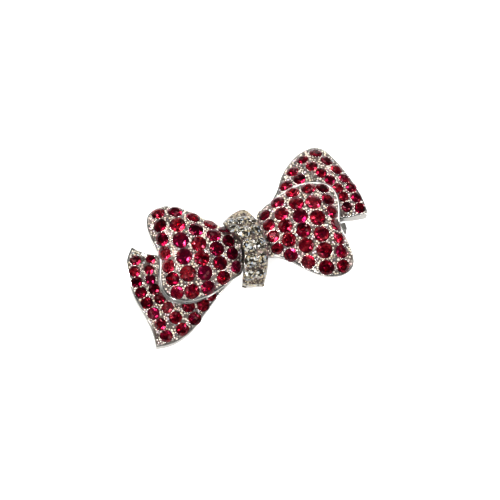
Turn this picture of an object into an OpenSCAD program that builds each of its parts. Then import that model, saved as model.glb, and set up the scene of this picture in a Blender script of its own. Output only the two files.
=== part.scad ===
// Bow brooch: two puffed loops over two ribbon tails, a band of diamonds round
// the middle and a pin behind. It lies on its back: +Z points out of the front,
// +X runs along the two loops, and z = 0 is the surface under the brooch.

/* [Loops] */
// Reach of a loop from the middle of the bow to its outer lobes
loop_len = 17.5; // [15:0.5:22]
// Half the width of a loop across its lobes
loop_half = 9.2; // [8:0.2:12]
// Height of the pillow above the outer edge of a loop
loop_crown = 2.5; // [2:0.1:4.5]
// Thickness of the pierced top plate of a loop
loop_plate = 1.6; // [1.5:0.1:2]
// Depth of the polished side wall of a loop
loop_wall = 2.2; // [1.8:0.1:2.8]
// Width of the second ledge that shows along the outer lobe
loop_ledge = 0.45; // [0.2:0.05:0.8]
// Space between the lower edge of a loop and the stones of the tail below
loop_over_tail = 0.2; // [0.15:0.05:1]
// Thickness of the neck of a loop
loop_neck = 1.2; // [1:0.1:1.4]

/* [Tails] */
// Reach of a tail from the middle of the bow to the far side of its end
tail_len = 22.5; // [20:0.5:28]
// Distance from the middle of the bow to the outer corner of a tail
tail_half = 16; // [14:0.5:19]
// Thickness of the plate of a tail
tail_plate = 1.35; // [1.3:0.05:1.8]
// Depth of the side wall of a tail
tail_wall = 1.45; // [1.4:0.05:2]
// Rise of the middle of a tail above its neck
tail_crown = 0.5; // [0.2:0.1:1]
// Space between the necks of the tails and the bar of the pin
tail_over_bar = 0.3; // [0.1:0.05:0.5]

/* [Knot] */
// Half the length of the knot band, measured across the bow
knot_half = 8.6; // [8:0.2:10]
// Half the width of the knot band at its waist
knot_waist = 2.4; // [2.2:0.1:3]
// Height of the knot rim at its middle above the surface under the brooch
knot_rim_z = 11; // [10.8:0.1:13]
// Height of the knot rim at its two ends
knot_end_z = 6.2; // [6:0.1:7.5]
// Rise of the knot above its own rim
knot_crown = 1.1; // [0.6:0.1:2]
// Thickness of the top plate of the knot
knot_plate = 1.3; // [1.2:0.1:1.8]
// Depth of the side wall along the middle of the knot
knot_wall = 0.95; // [0.8:0.05:1.2]
// Outward flare of the lower left side wall of the knot
knot_flare = 0.9; // [0:0.1:1.2]
// Thickness of the collar walls behind the knot
collar_wall = 0.7; // [0.6:0.1:1]
// Half the width of the collar along the bow
collar_half = 1.6; // [1.2:0.1:1.8]

/* [Stones] */
// Diameter of the largest ruby, the other rubies are shares of it
ruby_d = 2.7; // [2.4:0.05:2.75]
// Diameter of the largest diamond, the other diamonds are shares of it
diamond_d = 2.1; // [1.8:0.05:2.15]
// Width of the bright edge round each plate
rim_w = 0.3; // [0.25:0.05:0.5]
// Height of the bright edge above the stone field
rim_h = 0.15; // [0.1:0.05:0.3]

/* [Pin back] */
// Diameter of the pin stem
stem_d = 0.8; // [0.6:0.1:1]
// Diameter of the hinge knuckle and of the catch barrel
knuckle_d = 1.8; // [1.6:0.1:2.4]
// Length of the hinge knuckle across the bar
knuckle_len = 2; // [1.6:0.1:2.4]
// Length of the catch barrel along the stem
catch_len = 1.5; // [1.2:0.1:2]
// Distance from the middle of the bow to the hinge and to the catch
pin_reach = 17.6; // [14:0.2:17.6]
// Sideways offset of the hinge and of the catch from the long axis
pin_offset = 1.2; // [0.8:0.1:1.3]
// Space for cloth between the stem and the bar
cloth_gap = 1; // [0.8:0.1:1.6]
// Width of the bar
bar_w = 1.6; // [1.4:0.1:1.8]
// Thickness of the bar
bar_t = 0.7; // [0.6:0.1:1]
// Width of the catch across the bar
catch_w = 1.2; // [1:0.1:1.4]

/* [Fit] */
// Clearance between neighbouring pieces
clear = 0.1; // [0.08:0.01:0.15]

/* [Hidden] */

METAL = "#d6d4cf";
RUBY = "#96102f";
DIAMOND = "#e4edf2";

// Proportions of a cut stone, as shares of its diameter
STONE_SIDES = 8;
TABLE_SHARE = 0.58;
CROWN_SHARE = 0.13;
PAVILION_SHARE = 0.34;

// Stack of layers at the middle of the bow, from the back to the front
stem_z = knuckle_d / 2;
bar_z = stem_z + stem_d / 2 + cloth_gap;
collar_z = bar_z - clear - collar_wall;
tail_tang_z = bar_z + bar_t + tail_over_bar;
tail_neck_z = tail_tang_z + tail_plate;
tail_top_z = tail_neck_z + tail_crown;
loop_tang_z = tail_neck_z + max(rim_h, tail_crown / 2) + clear;
loop_tip_z = loop_tang_z + loop_neck;
loop_rim_z = tail_top_z + CROWN_SHARE * ruby_d + loop_over_tail + loop_wall;
loop_top_z = loop_rim_z + loop_crown;
tunnel_top_z = loop_tip_z + clear;
knot_top_z = knot_rim_z + knot_crown;

// Sides of the necks where they pass through the collar, and their length
loop_tang_low = -2.8;
loop_tang_high = 3.8;
tail_tang_low = -1;
tail_tang_high = 3.6;
tang_reach = 4.6;
tunnel_half = max(loop_tang_high, tail_tang_high) + clear;

// Wall of the skirt under a plate, drop from the rim to the ledge, height of the
// ledge's own edge, fall of the knot's flare for each millimetre of its width, and
// lean of the walls of the loops and the knot inwards for each millimetre of depth
skirt_t = 0.7;
ledge_drop = 0.35;
ledge_edge = 0.12;
flare_fall = 1.1;
wall_lean = 0.26;

// Edge of a loop, anticlockwise from the lower side of its neck. Columns: along as
// a share of loop_len, across as a share of loop_half, height as a share of the
// rise from neck to rim, wall as a share of loop_wall, ledge as a share of
// loop_ledge, smooth (1 for a round point, 0 for a corner).
LOOP_EDGE = [
    [0.107, -0.30, 1.15, 1.40, 0.0, 0.6],
    [0.25, -0.41, 0.95, 0.95, 0.0, 1],
    [0.38, -0.57, 1.00, 0.85, 0.0, 1],
    [0.53, -0.80, 1.00, 0.85, 0.0, 1],
    [0.68, -0.96, 1.00, 1.00, 0.0, 1],
    [0.83, -1.00, 1.00, 1.00, 0.0, 1],
    [0.955, -0.90, 1.00, 1.00, 0.0, 1],
    [1.00, -0.68, 1.00, 1.00, 0.1, 1],
    [0.985, -0.36, 1.00, 1.00, 0.1, 1],
    [0.938, 0.02, 1.00, 1.00, 0.4, 1],
    [0.972, 0.38, 1.00, 1.00, 1.0, 1],
    [0.965, 0.68, 1.00, 1.00, 1.0, 1],
    [0.88, 0.88, 1.00, 1.00, 1.0, 1],
    [0.72, 0.965, 1.00, 1.00, 0.8, 1],
    [0.54, 0.93, 1.00, 0.85, 0.3, 1],
    [0.38, 0.81, 1.00, 0.75, 0.0, 1],
    [0.25, 0.68, 0.90, 0.70, 0.0, 1],
    [0.137, 0.54, 0.40, 0.65, 0.0, 0.8],
    [0.107, 0.18, 1.12, 1.40, 0.0, 1],
];

// Middle of a loop, from which its pillow falls away: along, across
LOOP_MIDDLE = [0.617, 0];

// Edges of the tails, in the same columns, with along as a share of tail_len,
// across as a share of tail_half and height as a share of the rise from the
// resting corner to the neck.
LEFT_TAIL_EDGE = [
    [0.133, -0.07, 1.00, 1.00, 0, 1],
    [0.45, -0.09, 1.00, 1.00, 0, 1],
    [0.73, -0.10, 0.98, 1.00, 0, 1],
    [0.835, -0.15, 0.92, 1.00, 0, 1],
    [0.911, -0.25, 0.70, 1.00, 0, 0],
    [0.973, -0.10, 0.90, 1.10, 0, 1],
    [0.991, 0.10, 0.95, 1.20, 0, 1],
    [0.973, 0.325, 0.90, 1.20, 0, 1],
    [0.920, 0.54, 0.65, 1.10, 0, 1],
    [0.880, 0.72, 0.28, 1.00, 0, 1],
    [0.871, 0.895, 0.00, 1.00, 0, 0],
    [0.729, 0.895, 0.20, 1.00, 0, 1],
    [0.573, 0.805, 0.50, 1.00, 0, 1],
    [0.435, 0.637, 0.85, 1.00, 0, 1],
    [0.289, 0.45, 1.00, 1.00, 0, 1],
    [0.133, 0.25, 1.00, 1.00, 0, 1],
];
RIGHT_TAIL_EDGE = [
    [0.133, -0.07, 1.00, 1.00, 0, 1],
    [0.45, 0.05, 1.00, 1.00, 0, 1],
    [0.74, 0.125, 1.00, 0.95, 0, 1],
    [0.89, 0.14, 0.95, 1.80, 0, 1],
    [1.00, 0.15, 0.85, 1.90, 0, 0],
    [0.985, 0.325, 0.90, 1.50, 0, 1],
    [0.938, 0.556, 0.80, 1.10, 0, 1],
    [0.876, 0.80, 0.50, 1.00, 0, 1],
    [0.797, 1.02, 0.12, 1.00, 0, 1],
    [0.712, 1.095, 0.00, 1.00, 0, 0.5],
    [0.594, 1.05, 0.06, 1.00, 0, 1],
    [0.484, 0.94, 0.25, 1.00, 0, 1],
    [0.387, 0.775, 0.50, 1.00, 0, 1],
    [0.311, 0.575, 0.80, 1.00, 0, 1],
    [0.133, 0.25, 1.00, 1.00, 0, 1],
];
LEFT_TAIL_MIDDLE = [0.622, 0.31];
RIGHT_TAIL_MIDDLE = [0.622, 0.5];

// Edge of the knot band, anticlockwise from its lower left corner, with along as a
// share of knot_waist, across as a share of knot_half, height as a share of the
// rise from its ends to its middle, wall as a share of knot_wall and ledge as a
// share of knot_flare.
KNOT_EDGE = [
    [-1.27, -0.89, 0.34, 2.8, 0.3, 0],
    [-0.60, -0.95, 0.22, 2.6, 0.0, 1],
    [0.30, -0.97, 0.16, 2.6, 0.0, 0],
    [0.66, -0.77, 0.50, 2.4, 0.0, 1],
    [0.90, -0.50, 0.80, 1.3, 0, 1],
    [1.03, -0.20, 0.97, 1.0, 0, 1],
    [0.95, 0.08, 0.92, 1.0, 0, 1],
    [0.75, 0.35, 0.68, 1.0, 0, 1],
    [0.46, 0.60, 0.30, 1.6, 0, 1],
    [0.08, 0.755, 0.05, 2.4, 0, 1],
    [-0.50, 0.74, 0.04, 2.4, 0, 1],
    [-1.25, 0.592, 0.40, 1.2, 0, 1],
    [-1.85, 0.40, 0.88, 0.65, 0, 0.4],
    [-1.60, 0.257, 0.93, 0.75, 0, 1],
    [-1.12, 0.08, 0.86, 1.0, 0, 1],
    [-0.84, -0.18, 0.98, 1.0, 0, 1],
    [-0.84, -0.42, 0.88, 1.5, 0.1, 1],
    [-1.05, -0.68, 0.62, 2.4, 0.8, 1],
];
KNOT_MIDDLE = [-0.2, -0.1];

// Rubies of a loop in columns across it. Columns: along as a share of loop_len,
// first and last place across as shares of loop_half, stones, size as a share of
// ruby_d at the middle and at the ends, bow of the ends back to the knot, lean of
// the last stone to the knot (both shares of loop_len), shift of the middle stones
// across as a share of loop_half.
LOOP_RUBIES = [
    [0.222, -0.280, 0.462, 4, 0.77, 0.74, 0.000, 0.022, 0.000],
    [0.366, -0.445, 0.650, 5, 0.90, 0.87, 0.005, 0.008, 0.000],
    [0.536, -0.645, 0.795, 6, 0.94, 0.88, 0.010, 0.000, 0.025],
    [0.708, -0.820, 0.815, 6, 1.00, 0.93, 0.014, 0.000, -0.015],
    [0.885, -0.845, 0.778, 7, 0.87, 0.82, 0.033, 0.012, 0.010],
];
// Spread of a column towards its middle, so that stones keep even gaps on the pillow
SPREAD = 0.02;

// Rubies of the tails in bowed rows. Columns: first and last stone (along and
// across as shares of tail_len and tail_half), stones, sideways bow as a share of
// tail_len, lean of the bow to the first stone, growth of the gaps to the last
// stone, size of the first and of the last stone as shares of ruby_d.
LEFT_TAIL_RUBIES = [
    [0.907, -0.080, 0.782, 0.815, 8, 0.053, 0.9, 0.08, 0.66, 0.79],
    [0.787, -0.055, 0.648, 0.780, 8, 0.070, 0.8, 0.16, 0.57, 0.80],
    [0.571, 0.552, 0.538, 0.694, 2, 0.000, 0.0, 0.00, 0.80, 0.80],
    [0.452, 0.568, 0.378, 0.486, 2, 0.000, 0.0, 0.00, 0.80, 0.60],
];
RIGHT_TAIL_RUBIES = [
    [0.944, 0.225, 0.708, 0.990, 7, 0.050, 0.2, 0.15, 0.66, 0.82],
    [0.840, 0.255, 0.586, 0.934, 7, 0.040, 1.0, 0.12, 0.63, 0.75],
    [0.518, 0.686, 0.482, 0.800, 2, 0.000, 0.0, 0.00, 0.76, 0.76],
    [0.400, 0.640, 0.400, 0.640, 1, 0.000, 0.0, 0.00, 0.78, 0.78],
];

// Diamonds of the knot: along as a share of knot_waist, across as a share of
// knot_half, size as a share of diamond_d.
KNOT_DIAMONDS = [
    [-0.70, -0.78, 0.84],
    [0.12, -0.78, 0.76],
    [-0.46, -0.53, 1.00],
    [0.46, -0.53, 0.86],
    [-0.36, -0.23, 1.00],
    [0.54, -0.22, 0.84],
    [-0.52, 0.08, 1.00],
    [0.40, 0.09, 0.90],
    [-1.18, 0.205, 0.72],
    [-0.50, 0.39, 0.90],
    [0.28, 0.36, 0.78],
    [-1.27, 0.430, 0.78],
];

function wrapped(rows, i) = rows[(i + len(rows)) % len(rows)];
function slope_at(rows, i) = (wrapped(rows, i + 1) - wrapped(rows, i - 1)) / 2 * wrapped(rows, i)[5];

// Point of a smooth closed curve between row i and the next row, t from 0 to 1
function between(rows, i, t) =
    (2 * t * t * t - 3 * t * t + 1) * wrapped(rows, i)
    + (t * t * t - 2 * t * t + t) * slope_at(rows, i)
    + (3 * t * t - 2 * t * t * t) * wrapped(rows, i + 1)
    + (t * t * t - t * t) * slope_at(rows, i + 1);
function smooth_ring(rows, steps) = [
    for (i = [0 : len(rows) - 1]) for (k = [0 : steps - 1]) between(rows, i, k / steps)
];

// Edge table in real sizes: each row becomes x, y, z, wall, ledge
function sized(table, along, across, low_z, high_z, wall, ledge) = [
    for (row = table) [
        row[0] * along,
        row[1] * across,
        low_z + row[2] * (high_z - low_z),
        row[3] * wall,
        row[4] * ledge,
        row[5],
    ]
];

function flat(p) = [p[0], p[1]];
function heading(v) = atan2(v[1], v[0]);
function turned(a, start) = (a - start + 720) % 360;

// A plate is its ring of edge points, its middle, its top and two tables that give
// the reach and the height of the edge for each heading from the middle.
function plate(ring, middle, top) =
    let (start = heading(flat(ring[0]) - middle))
    let (headings = [for (p = ring) turned(heading(flat(p) - middle), start)])
    let (last = len(ring) - 1)
    [
        ring,
        middle,
        top,
        start,
        concat(
            [for (i = [0 : last]) [headings[i], norm(flat(ring[i]) - middle)]],
            [[360, norm(flat(ring[0]) - middle)]]
        ),
        concat([for (i = [0 : last]) [headings[i], ring[i][2]]], [[360, ring[0][2]]]),
    ];

function pillow(r) = 1 - 0.55 * r * r - 0.45 * r * r * r * r;
function surface_z(pl, p) =
    let (d = p - pl[1])
    let (a = norm(d) < 0.001 ? 0 : turned(heading(d), pl[3]))
    let (r = min(1, norm(d) / lookup(a, pl[4])))
    let (edge = lookup(a, pl[5]))
    edge + (pl[2] - edge) * pillow(r);
function surface_normal(pl, p) =
    let (e = 0.1)
    let (dx = surface_z(pl, p + [e, 0]) - surface_z(pl, p - [e, 0]))
    let (dy = surface_z(pl, p + [0, e]) - surface_z(pl, p - [0, e]))
    let (n = [-dx, -dy, 2 * e])
    n / norm(n);

// Ring inside the edge: a share r of the reach, lowered by drop
function inner_ring(pl, r, drop) = [
    for (p = pl[0]) let (q = pl[1] + (flat(p) - pl[1]) * r) [q[0], q[1], surface_z(pl, q) - drop]
];
// Ring a real distance inside the edge
function inset_ring(pl, inset, drop) = [
    for (p = pl[0])
        let (d = flat(p) - pl[1])
        let (q = pl[1] + d * (1 - inset / norm(d)))
        [q[0], q[1], surface_z(pl, q) - drop]
];
// Ring a distance outside the edge, raised by rise
function edge_ring(pl, out, rise) = [
    for (p = pl[0])
        let (d = flat(p) - pl[1])
        let (q = pl[1] + d * (1 + out / norm(d)))
        [q[0], q[1], p[2] + rise]
];
// Ring on the outer line of the ledge, lowered by drop and by fall for each
// millimetre of ledge
function ledge_ring(pl, drop, fall) = [
    for (p = pl[0])
        let (d = flat(p) - pl[1])
        let (q = pl[1] + d * (1 + p[4] / norm(d)))
        [q[0], q[1], p[2] - drop - fall * p[4]]
];
// Ring a share of the way down the side wall, moved inwards by inset and by lean
// for each millimetre of depth, with its ledge or without
function wall_ring(pl, share, inset, lean, ledge) = [
    for (p = pl[0])
        let (d = flat(p) - pl[1])
        let (out = ledge * p[4] - inset - lean * share * p[3])
        let (q = pl[1] + d * (1 + out / norm(d)))
        [q[0], q[1], p[2] - share * p[3]]
];
function flat_ring(pl, z) = [for (p = pl[0]) [p[0], p[1], z]];

// Closed skin over a stack of rings that all have as many points, from a top
// point to a bottom point
module skin(top_point, rings, bottom_point) {
    n = len(rings[0]);
    last = len(rings) - 1;
    points = concat([top_point], [for (ring = rings) each ring], [bottom_point]);
    faces = concat(
        [for (i = [0 : n - 1]) [0, 1 + (i + 1) % n, 1 + i]],
        [
            for (j = [0 : last - 1]) for (i = [0 : n - 1])
                let (a = 1 + j * n + i)
                let (b = 1 + j * n + (i + 1) % n)
                each [[a, b, b + n], [a, b + n, a + n]]
        ],
        [for (i = [0 : n - 1]) [1 + last * n + i, 1 + last * n + (i + 1) % n, 1 + (last + 1) * n]]
    );
    polyhedron(points = points, faces = faces, convexity = 6);
}

// Domed plate with a raised bright edge, a ledge and a polished side wall
module domed_plate(pl, thick, ledge_fall, lean) {
    middle = pl[1];
    skin(
        [middle[0], middle[1], pl[2]],
        [
            inner_ring(pl, 0.42, 0),
            inner_ring(pl, 0.76, 0),
            inset_ring(pl, rim_w, 0),
            inset_ring(pl, rim_w, -rim_h),
            edge_ring(pl, 0, rim_h),
            edge_ring(pl, 0, -ledge_drop),
            ledge_ring(pl, ledge_drop + ledge_edge, ledge_fall),
            wall_ring(pl, 1, 0, lean, 1),
            wall_ring(pl, 1, skirt_t, lean, 0),
            inset_ring(pl, skirt_t, thick),
        ],
        [middle[0], middle[1], pl[2] - thick]
    );
}

// Solid under the surface of a plate, down to a flat base
module filled_plate(pl, base_z) {
    middle = pl[1];
    skin(
        [middle[0], middle[1], pl[2]],
        [
            inner_ring(pl, 0.42, 0),
            inner_ring(pl, 0.76, 0),
            wall_ring(pl, 0.5, skirt_t / 2, wall_lean, 0),
            flat_ring(pl, base_z),
        ],
        [middle[0], middle[1], base_z]
    );
}

// Octagonal cut stone with a table, girdle at z = 0
module cut_stone(d) {
    function octagon(r, z) = [
        for (k = [0 : STONE_SIDES - 1])
            [r * cos(360 * k / STONE_SIDES), r * sin(360 * k / STONE_SIDES), z]
    ];
    skin(
        [0, 0, CROWN_SHARE * d],
        [octagon(TABLE_SHARE * d / 2, CROWN_SHARE * d), octagon(d / 2, 0)],
        [0, 0, -PAVILION_SHARE * d]
    );
}

// Pointed seat that clears a stone of diameter d all round
module stone_seat(d) {
    side_gap = clear / cos(180 / STONE_SIDES);
    hull() {
        translate([0, 0, -clear / 2])
            cylinder(r = d / 2 + side_gap, h = d / 2, $fn = STONE_SIDES);
        translate([0, 0, -PAVILION_SHARE * d - 2 * clear])
            cylinder(r = clear / 5, h = clear / 10, $fn = 3);
    }
}

// Puts its children on the surface of a plate, square to it
module on_surface(pl, p) {
    n = surface_normal(pl, p);
    translate([p[0], p[1], surface_z(pl, p)])
        rotate(a = acos(n[2]), v = [-n[1], n[0], 0])
            children();
}

module stones(pl, places) {
    for (s = places) on_surface(pl, [s[0], s[1]]) cut_stone(s[2]);
}
module seats(pl, places) {
    for (s = places) on_surface(pl, [s[0], s[1]]) stone_seat(s[2]);
}

// Places of the stones: x, y, diameter
function spread(t) = t * (1 + SPREAD) - SPREAD * t * t * t;
loop_places = [
    for (row = LOOP_RUBIES) for (k = [0 : row[3] - 1])
        let (t = 2 * k / (row[3] - 1) - 1)
        let (mid = (row[1] + row[2]) / 2)
        let (half = (row[2] - row[1]) / 2)
        [
            (row[0] - row[6] * t * t - row[7] * t) * loop_len,
            (mid + half * spread(t) + row[8] * (1 - t * t)) * loop_half,
            (row[4] + (row[5] - row[4]) * t * t) * ruby_d,
        ]
];
function tail_places(table) = [
    for (row = table) for (k = [0 : row[4] - 1])
        let (u = row[4] == 1 ? 0 : k / (row[4] - 1))
        let (t = u * (1 - row[7]) + u * u * row[7])
        let (first = [row[0] * tail_len, row[1] * tail_half])
        let (last = [row[2] * tail_len, row[3] * tail_half])
        let (chord = last - first)
        let (side = norm(chord) == 0 ? [0, 0] : [chord[1], -chord[0]] / norm(chord))
        let (bow = 4 * t * (1 - t) * (1 + row[6] * (1 - 2 * t)) * row[5] * tail_len)
        let (p = first + chord * t + side * bow)
        [p[0], p[1], (row[8] + (row[9] - row[8]) * t) * ruby_d]
];
left_tail_places = tail_places(LEFT_TAIL_RUBIES);
right_tail_places = tail_places(RIGHT_TAIL_RUBIES);
diamond_places = [
    for (row = KNOT_DIAMONDS) [row[0] * knot_waist, row[1] * knot_half, row[2] * diamond_d]
];

loop_shape = plate(
    smooth_ring(sized(LOOP_EDGE, loop_len, loop_half, loop_tip_z, loop_rim_z, loop_wall, loop_ledge), 3),
    [LOOP_MIDDLE[0] * loop_len, LOOP_MIDDLE[1] * loop_half],
    loop_top_z
);
function tail_shape(edge, middle) = plate(
    smooth_ring(sized(edge, tail_len, tail_half, tail_wall, tail_neck_z, tail_wall, 0), 3),
    [middle[0] * tail_len, middle[1] * tail_half],
    tail_top_z
);
left_tail_shape = tail_shape(LEFT_TAIL_EDGE, LEFT_TAIL_MIDDLE);
right_tail_shape = tail_shape(RIGHT_TAIL_EDGE, RIGHT_TAIL_MIDDLE);
knot_shape = plate(
    smooth_ring(sized(KNOT_EDGE, knot_waist, knot_half, knot_end_z, knot_rim_z, knot_wall, knot_flare), 2),
    [KNOT_MIDDLE[0] * knot_waist, KNOT_MIDDLE[1] * knot_half],
    knot_top_z
);

module half_turn() {
    rotate([0, 0, 180]) children();
}

// Flat neck that enters the collar, from its low side to its high side
module neck(low, high, z, t) {
    translate([clear / 2, low, z]) cube([tang_reach - clear / 2, high - low, t]);
}

module loop_metal() {
    color(METAL) difference() {
        union() {
            domed_plate(loop_shape, loop_plate, 0, wall_lean);
            neck(loop_tang_low, loop_tang_high, loop_tang_z, loop_neck);
        }
        seats(loop_shape, loop_places);
    }
}
module tail_metal(shape, places) {
    color(METAL) difference() {
        union() {
            domed_plate(shape, tail_plate, 0, 0);
            neck(tail_tang_low, tail_tang_high, tail_tang_z, tail_plate);
        }
        seats(shape, places);
    }
}

module left_loop() half_turn() loop_metal();
module right_loop() loop_metal();
module left_tail() half_turn() tail_metal(left_tail_shape, left_tail_places);
module right_tail() tail_metal(right_tail_shape, right_tail_places);

module left_loop_rubies() color(RUBY) half_turn() stones(loop_shape, loop_places);
module right_loop_rubies() color(RUBY) stones(loop_shape, loop_places);
module left_tail_rubies() color(RUBY) half_turn() stones(left_tail_shape, left_tail_places);
module right_tail_rubies() color(RUBY) stones(right_tail_shape, right_tail_places);
module knot_diamonds() color(DIAMOND) stones(knot_shape, diamond_places);

// Band over the middle with the collar that grips the necks and the bar
module knot() {
    collar_side = tunnel_half + collar_wall;
    color(METAL) difference() {
        union() {
            domed_plate(knot_shape, knot_plate, flare_fall, wall_lean);
            intersection() {
                filled_plate(knot_shape, collar_z);
                translate([-collar_half, -collar_side, collar_z])
                    cube([2 * collar_half, 2 * collar_side, knot_top_z - collar_z]);
            }
        }
        translate([-2 * collar_half, -tunnel_half, collar_z + collar_wall])
            cube([4 * collar_half, 2 * tunnel_half, tunnel_top_z - collar_z - collar_wall]);
        seats(knot_shape, diamond_places);
    }
}

// Bar with a hinge knuckle, a catch barrel and the closed stem between them
module pin_back() {
    angle = atan2(pin_offset, pin_reach);
    span = norm([pin_reach, pin_offset]);
    color(METAL) rotate([0, 0, angle]) {
        translate([-span, -bar_w / 2, bar_z]) cube([2 * span, bar_w, bar_t]);
        translate([-span, knuckle_len / 2, stem_z])
            rotate([90, 0, 0]) cylinder(d = knuckle_d, h = knuckle_len, $fn = 32);
        translate([-span - knuckle_d / 2, -bar_w / 2, stem_z])
            cube([knuckle_d, bar_w, bar_z + bar_t - stem_z]);
        translate([span - catch_len / 2, 0, stem_z])
            rotate([0, 90, 0]) cylinder(d = knuckle_d, h = catch_len, $fn = 32);
        translate([span - catch_len / 2, -catch_w / 2, stem_z])
            cube([catch_len, catch_w, bar_z + bar_t - stem_z]);
        translate([-span, 0, stem_z])
            rotate([0, 90, 0]) cylinder(d = stem_d, h = 2 * span, $fn = 24);
    }
}

left_tail();
right_tail();
left_loop();
right_loop();
knot();
pin_back();
left_tail_rubies();
right_tail_rubies();
left_loop_rubies();
right_loop_rubies();
knot_diamonds();
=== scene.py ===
# Bow brooch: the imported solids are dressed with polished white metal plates, cut
# rubies and diamonds, a thin collar round each stone, a bright wire round each
# stone field and small grains between the stones.
import math
import random

import bmesh
import bpy
import numpy as np
from mathutils import Euler, Matrix, Vector
from mathutils.bvhtree import BVHTree
from mathutils.kdtree import KDTree

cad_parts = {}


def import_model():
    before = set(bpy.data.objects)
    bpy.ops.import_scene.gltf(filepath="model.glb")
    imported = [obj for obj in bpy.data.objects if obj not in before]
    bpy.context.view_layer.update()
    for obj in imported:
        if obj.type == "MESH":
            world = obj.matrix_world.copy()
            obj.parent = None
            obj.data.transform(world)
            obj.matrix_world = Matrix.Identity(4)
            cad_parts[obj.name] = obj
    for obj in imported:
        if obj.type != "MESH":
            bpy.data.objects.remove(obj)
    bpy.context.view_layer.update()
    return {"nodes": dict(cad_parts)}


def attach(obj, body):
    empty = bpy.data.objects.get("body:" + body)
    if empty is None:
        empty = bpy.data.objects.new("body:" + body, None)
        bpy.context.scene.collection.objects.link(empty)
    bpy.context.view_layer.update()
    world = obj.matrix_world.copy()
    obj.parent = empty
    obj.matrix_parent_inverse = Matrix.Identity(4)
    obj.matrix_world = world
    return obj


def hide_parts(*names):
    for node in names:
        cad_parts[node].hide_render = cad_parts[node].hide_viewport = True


MM = 0.001

# Where the photograph was taken from, in degrees, and the scale of its picture
CAMERA_AZIMUTH = -24.81
CAMERA_ELEVATION = 71.64
CAMERA_ROLL = 13.58
CAMERA_DISTANCE = 420 * MM
PIXEL_SIZE = 0.1806 * MM
IMAGE_PIXELS = 500
BROOCH_PIXEL = (247.04, 254.78)
SENSOR_MM = 36
CAMERA_NEAR = 0.01
CAMERA_FAR = 10

# Nodes of the frame: each metal plate and the field of stones set in it
PLATE_STONES = {
    "left_loop": "left_loop_rubies",
    "right_loop": "right_loop_rubies",
    "left_tail": "left_tail_rubies",
    "right_tail": "right_tail_rubies",
    "knot": "knot_diamonds",
}

# Corners closer than this are one corner
MERGE_DISTANCE = 0.001 * MM

# Edges of the metal: how far they are rounded, from which angle on, and how close to
# a stone an edge belongs to its seat and stays sharp
EDGE_ROUND = 0.06 * MM
EDGE_SEGMENTS = 2
EDGE_ANGLE = math.radians(38)
SMOOTH_ANGLE = math.radians(32)
SEAT_MARGIN = 0.3 * MM

# Places of the metals in a plate's list: the field metal and the wall metal are darker copies
# of the white metal, painted shade
RIM_METAL = 0
FIELD_SHADE_SLOT = 1
WALL_SHADE_SLOT = 2

# How far a face looks up, from 1 for a level face to 0 for an upright one: below these it is
# side wall, which gets the greyer metal of painted shade
WALL_SLOPE = {
    "left_loop": 0.5,
    "right_loop": 0.5,
    "left_tail": 0.85,
    "right_tail": 0.85,
    "knot": 0.7,
}
# Above these it can be stone field, lower ledge of the knot or inner end of a plate
FIELD_SLOPE = 0.2
LEDGE_SLOPE = 0.35
INNER_SLOPE = -0.1

# Where the lower ledge of the knot begins, and how close to the middle and how high
# up a loop or tail counts as its inner end
KNOT_LOWER_END = -7.3 * MM
INNER_REACH = 3.3 * MM
INNER_LOW = 5.3 * MM

# Outline of some faces of a plate: edges closer to a stone than this belong to its
# seat and are left out, and the search points along the rest are this far apart
OUTLINE_MARGIN = 0.2 * MM
OUTLINE_STEP = 0.1 * MM

# Corners round the girdle of a plain stone
GIRDLE_CORNERS = 8

# Finished brilliant: sizes as shares of its diameter, and how much the middle rings
# of crown and pavilion stand out from a straight cone
FACETS = 8
HALF_FACET = math.radians(22.5)
TABLE_RADIUS = 0.28
STAR_RADIUS = 0.395
GIRDLE_RADIUS = 0.5
LOWER_RADIUS = 0.13
CROWN_HEIGHT = 0.125
GIRDLE_HALF = 0.012
PAVILION_DEPTH = 0.34
CROWN_FULLNESS = 1.12
PAVILION_FULLNESS = 1.03
FLAT_ANGLE = math.radians(1)

# A finished stone leans a little, fills its seat, so that it is wider than the plain
# one by SEAT_FILL, and lies higher by STONE_RISE
STONE_TILT = math.radians(2.5)
SEAT_FILL = 0.24 * MM
STONE_RISE = 0.03 * MM

# Tones: range of a ruby's body, mean and spread of its side tint, how far its facets depart
# from the body as painted light and dark, and range of a diamond's facets, painted
# reflections from dark to bright
RUBY_BODY = (0.2, 0.7)
RUBY_SIDE = (-0.05, 0.2)
RUBY_PAINTED_FACETS = 0.38
DIAMOND_PAINTED_FACETS = (0.02, 0.58)

# Rubies that differ from the rest: place across the brooch in mm, tone, share of the side
# tint and share of the painted spark highlight. A ruby is the one meant if it is this close.
STANDOUT_REACH = 0.5 * MM
STANDOUT_RUBIES = [
    (-12.30, -4.46, 0.66, 0, 0.04),
    (-9.37, 0.44, 0.7, 0, 0),
    (-9.37, -2.26, 0.6, 0, 0),
    (-12.14, -7.50, 0.58, 0, 0),
    (-12.38, 1.69, 0.2, 0.5, 0),
    (-9.32, 3.19, 0.15, 0.1, 0),
    (-3.50, -4.25, 0.45, 0.7, 0),
    (-19.08, -8.84, 0.6, 0.8, 0),
    (-16.52, -8.45, 0.6, 0.15, 0.14),
    (-15.47, -10.40, 0.64, 0, 0),
    (12.30, 4.46, 0.58, 0.2, 0.03),
    (12.38, 1.38, 0.64, 0, 0),
    (12.38, -1.69, 0.6, 0.1, 0),
    (12.30, -4.68, 0.65, 0, 0),
    (9.32, -3.19, 0.6, 0, 0),
]

# Collar round a stone: radius of its wire and distance from the plain stone
COLLAR_WIRE = 0.035 * MM
COLLAR_GAP = 0.14 * MM
COLLAR_STEPS = 32
COLLAR_SIDES = 5

# Bright wire along the edge of each stone field
EDGE_WIRE = 0.07 * MM
EDGE_WIRE_SIDES = 6

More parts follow.
